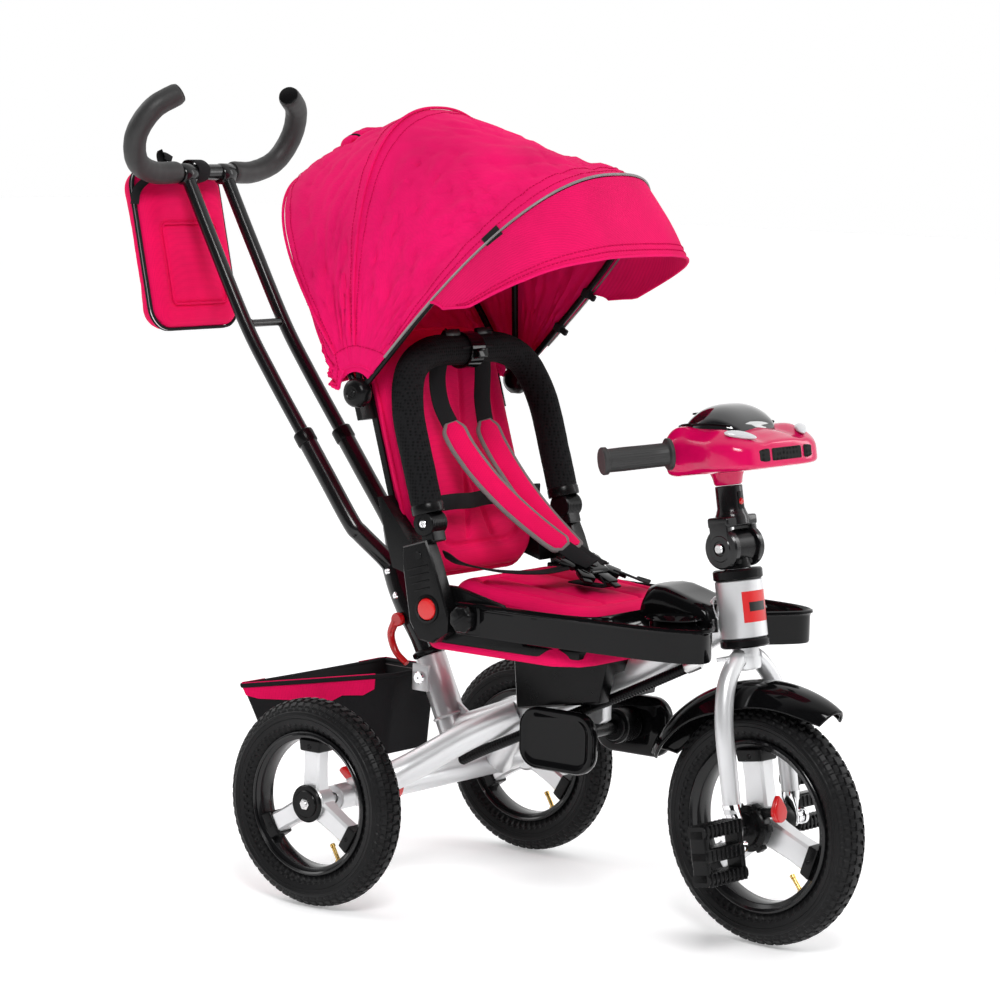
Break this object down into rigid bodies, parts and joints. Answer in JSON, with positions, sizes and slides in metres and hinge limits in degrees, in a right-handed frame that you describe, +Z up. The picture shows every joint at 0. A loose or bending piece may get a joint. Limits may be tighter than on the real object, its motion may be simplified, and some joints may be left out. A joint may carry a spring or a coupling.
{
  "type": "children's tricycle",
  "caption": "Children's push tricycle with a folding fabric canopy, reclining padded seat, guard tray, steerable parent's push handle, rear basket and air tyres.",
  "frame": {"origin": "on the ground, under the middle of the whole tricycle", "axes": "+Z up, +Y towards the rear (the rider faces -Y), +X towards the rider's left"},
  "size_m": [0.487, 1.1338, 1.0087],
  "materials": {
    "rubber_tyre": "matt black",
    "black_rim": "satin black",
    "silver_paint": "silver metallic",
    "black_paint": "satin black",
    "bright_steel": "bright",
    "black_plastic": "fine grain",
    "gloss_black": "gloss",
    "pink_plastic": "gloss",
    "red_plastic": "gloss",
    "smoked_glass": "mirror gloss",
    "foam": "soft",
    "pink_cloth": "plain weave",
    "black_cloth": "plain weave"
  },
  "bodies": {
    "chassis": {"main_frame": "silver_paint", "head_ring": "black_plastic", "steering_conduit": "black_plastic", "rear_axle": "bright_steel", "seat_base": "black_plastic", "seat_shell": "black_plastic", "seat_cushion": "pink_cloth", "guard_tray": "gloss_black", "basket": "black_cloth", "footrest_bracket": "black_plastic"},
    "steering_fork": {"fork": "silver_paint", "front_fender": "gloss_black", "stem_knuckle": "black_plastic"},
    "front_wheel": {"front_tyre": "rubber_tyre", "front_rim": "black_rim", "front_spokes": "silver_paint", "front_hub": "black_plastic"},
    "clutch": {"clutch_lever": "red_plastic"},
    "cranks": {"crank_axle": "bright_steel"},
    "right_pedal": {"pedal_right": "black_plastic"},
    "left_pedal": {"pedal_left": "black_plastic"},
    "folding_stem": {"stem": "black_paint"},
    "handlebar": {"console_body": "pink_plastic", "console_window": "smoked_glass", "handlebar_grip_right": "foam", "handlebar_grip_left": "foam"},
    "stem_lock": {"stem_button": "red_plastic"},
    "right_rear_wheel": {"rear_tyre_right": "rubber_tyre", "rear_rim_right": "black_rim", "rear_hub_right": "silver_paint"},
    "left_rear_wheel": {"rear_tyre_left": "rubber_tyre", "rear_rim_left": "black_rim", "rear_hub_left": "silver_paint"},
    "brake": {"brake_pedal": "red_plastic"},
    "backrest": {"backrest_frame": "black_plastic", "backrest_cushion": "pink_cloth", "harness_pad_right": "pink_cloth", "harness_pad_left": "pink_cloth", "harness_buckle": "black_plastic", "bumper_joint_right": "black_plastic", "bumper_joint_left": "black_plastic", "canopy_back": "pink_cloth", "canopy_front": "pink_cloth"},
    "right_recline_lock": {"recline_button_right": "red_plastic"},
    "left_recline_lock": {"recline_button_left": "red_plastic"},
    "bumper": {"bumper_bar": "foam", "bumper_clip": "gloss_black"},
    "canopy_hood": {"canopy_visor": "pink_cloth"},
    "right_canopy_clamp": {"canopy_knob_right": "black_plastic"},
    "left_canopy_clamp": {"canopy_knob_left": "black_plastic"},
    "right_tray_clamp": {"tray_knob_right": "black_plastic"},
    "left_tray_clamp": {"tray_knob_left": "black_plastic"},
    "push_sleeve": {"push_tube": "black_paint"},
    "push_handle": {"push_poles": "black_paint", "push_grip_right": "foam", "push_grip_left": "foam", "bag": "pink_cloth"},
    "handle_release": {"release_lever": "red_plastic"},
    "right_footrest": {"footrest_right": "black_plastic"},
    "left_footrest": {"footrest_left": "black_plastic"}
  },
  "joints": [
    {"name": "steer", "type": "hinge", "parent": "chassis", "child": "steering_fork", "pos_m": [0, -0.422, 0.145], "axis": [0, 0.1633, 0.9866], "range_deg": [-29, 41]},
    {"name": "front_wheel_spin", "type": "hinge", "parent": "steering_fork", "child": "front_wheel", "pos_m": [0, -0.422, 0.145], "axis": [0.9945, -0.1031, 0.0171], "continuous": true},
    {"name": "crank_spin", "type": "hinge", "parent": "steering_fork", "child": "cranks", "pos_m": [0, -0.422, 0.145], "axis": [0.9945, -0.1031, 0.0171], "continuous": true},
    {"name": "clutch_turn", "type": "hinge", "parent": "front_wheel", "child": "clutch", "pos_m": [-0.02857, -0.46139, 0.16571], "axis": [-0.1045, -0.9812, 0.1624], "range_deg": [0, 60]},
    {"name": "pedal_spin_right", "type": "hinge", "parent": "cranks", "child": "right_pedal", "pos_m": [-0.11677, -0.43516, 0.13197], "axis": [0.9945, -0.1031, 0.0171], "continuous": true},
    {"name": "pedal_spin_left", "type": "hinge", "parent": "cranks", "child": "left_pedal", "pos_m": [0.11677, -0.40884, 0.15803], "axis": [0.9945, -0.1031, 0.0171], "continuous": true},
    {"name": "stem_fold", "type": "hinge", "parent": "steering_fork", "child": "folding_stem", "pos_m": [0, -0.36745, 0.47452], "axis": [0.9945, -0.1031, 0.0171], "range_deg": [-12, 85]},
    {"name": "bar_height", "type": "slide", "parent": "folding_stem", "child": "handlebar", "axis": [0, 0.1633, 0.9866], "range_m": [0, 0.02]},
    {"name": "stem_button_press", "type": "slide", "parent": "folding_stem", "child": "stem_lock", "axis": [0.1045, 0.9812, -0.1624], "range_m": [0, 0.002], "stiffness_N_per_m": 300},
    {"name": "rear_wheel_spin_right", "type": "hinge", "parent": "chassis", "child": "right_rear_wheel", "pos_m": [-0.22, 0.095, 0.13], "axis": [1, 0, 0], "continuous": true},
    {"name": "rear_wheel_spin_left", "type": "hinge", "parent": "chassis", "child": "left_rear_wheel", "pos_m": [0.22, 0.095, 0.13], "axis": [1, 0, 0], "continuous": true},
    {"name": "brake_press", "type": "hinge", "parent": "chassis", "child": "brake", "pos_m": [-0.088, 0.095, 0.13], "axis": [1, 0, 0], "range_deg": [-15, 0]},
    {"name": "recline", "type": "hinge", "parent": "chassis", "child": "backrest", "pos_m": [0, -0.026, 0.378], "axis": [1, 0, 0], "range_deg": [-10, 15]},
    {"name": "recline_button_press_right", "type": "slide", "parent": "backrest", "child": "right_recline_lock", "axis": [1, 0, 0], "range_m": [0, 0.002], "stiffness_N_per_m": 300},
    {"name": "recline_button_press_left", "type": "slide", "parent": "backrest", "child": "left_recline_lock", "axis": [-1, 0, 0], "range_m": [0, 0.002], "stiffness_N_per_m": 300},
    {"name": "bumper_swing", "type": "hinge", "parent": "backrest", "child": "bumper", "pos_m": [0, -0.013, 0.481], "axis": [1, 0, 0], "range_deg": [0, 95]},
    {"name": "canopy_fold", "type": "hinge", "parent": "backrest", "child": "canopy_hood", "pos_m": [0, 0.089, 0.635], "axis": [1, 0, 0], "range_deg": [-38, 0], "deforming": ["canopy_front"]},
    {"name": "canopy_knob_turn_right", "type": "hinge", "parent": "backrest", "child": "right_canopy_clamp", "pos_m": [-0.161, 0.089, 0.635], "axis": [1, 0, 0], "range_deg": [0, 180]},
    {"name": "canopy_knob_turn_left", "type": "hinge", "parent": "backrest", "child": "left_canopy_clamp", "pos_m": [0.161, 0.089, 0.635], "axis": [1, 0, 0], "range_deg": [0, 180]},
    {"name": "tray_knob_turn_right", "type": "hinge", "parent": "chassis", "child": "right_tray_clamp", "pos_m": [-0.1545, -0.082, 0.372], "axis": [1, 0, 0], "range_deg": [0, 180]},
    {"name": "tray_knob_turn_left", "type": "hinge", "parent": "chassis", "child": "left_tray_clamp", "pos_m": [0.1545, -0.082, 0.372], "axis": [1, 0, 0], "range_deg": [0, 180]},
    {"name": "push_turn", "type": "hinge", "parent": "chassis", "child": "push_sleeve", "pos_m": [0, 0.056, 0.206], "axis": [0, 0.4205, 0.9073], "range_deg": [-14.5, 20.5]},
    {"name": "push_height", "type": "slide", "parent": "push_sleeve", "child": "push_handle", "axis": [0, 0.6157, 0.788], "range_m": [-0.055, 0.035]},
    {"name": "release_pull", "type": "hinge", "parent": "push_sleeve", "child": "handle_release", "pos_m": [-0.0234, 0.13, 0.333], "axis": [1, 0, 0], "range_deg": [0, 50]},
    {"name": "footrest_fold_right", "type": "hinge", "parent": "chassis", "child": "right_footrest", "pos_m": [-0.08, -0.172, 0.19], "axis": [0, -1, 0], "range_deg": [0, 90]},
    {"name": "footrest_fold_left", "type": "hinge", "parent": "chassis", "child": "left_footrest", "pos_m": [0.08, -0.172, 0.19], "axis": [0, 1, 0], "range_deg": [0, 90]}
  ],
  "couplings": [
    {"joint": "crank_spin", "follows": "front_wheel_spin", "ratio": 1},
    {"joint": "push_turn", "follows": "steer", "ratio": 0.5}
  ]
}
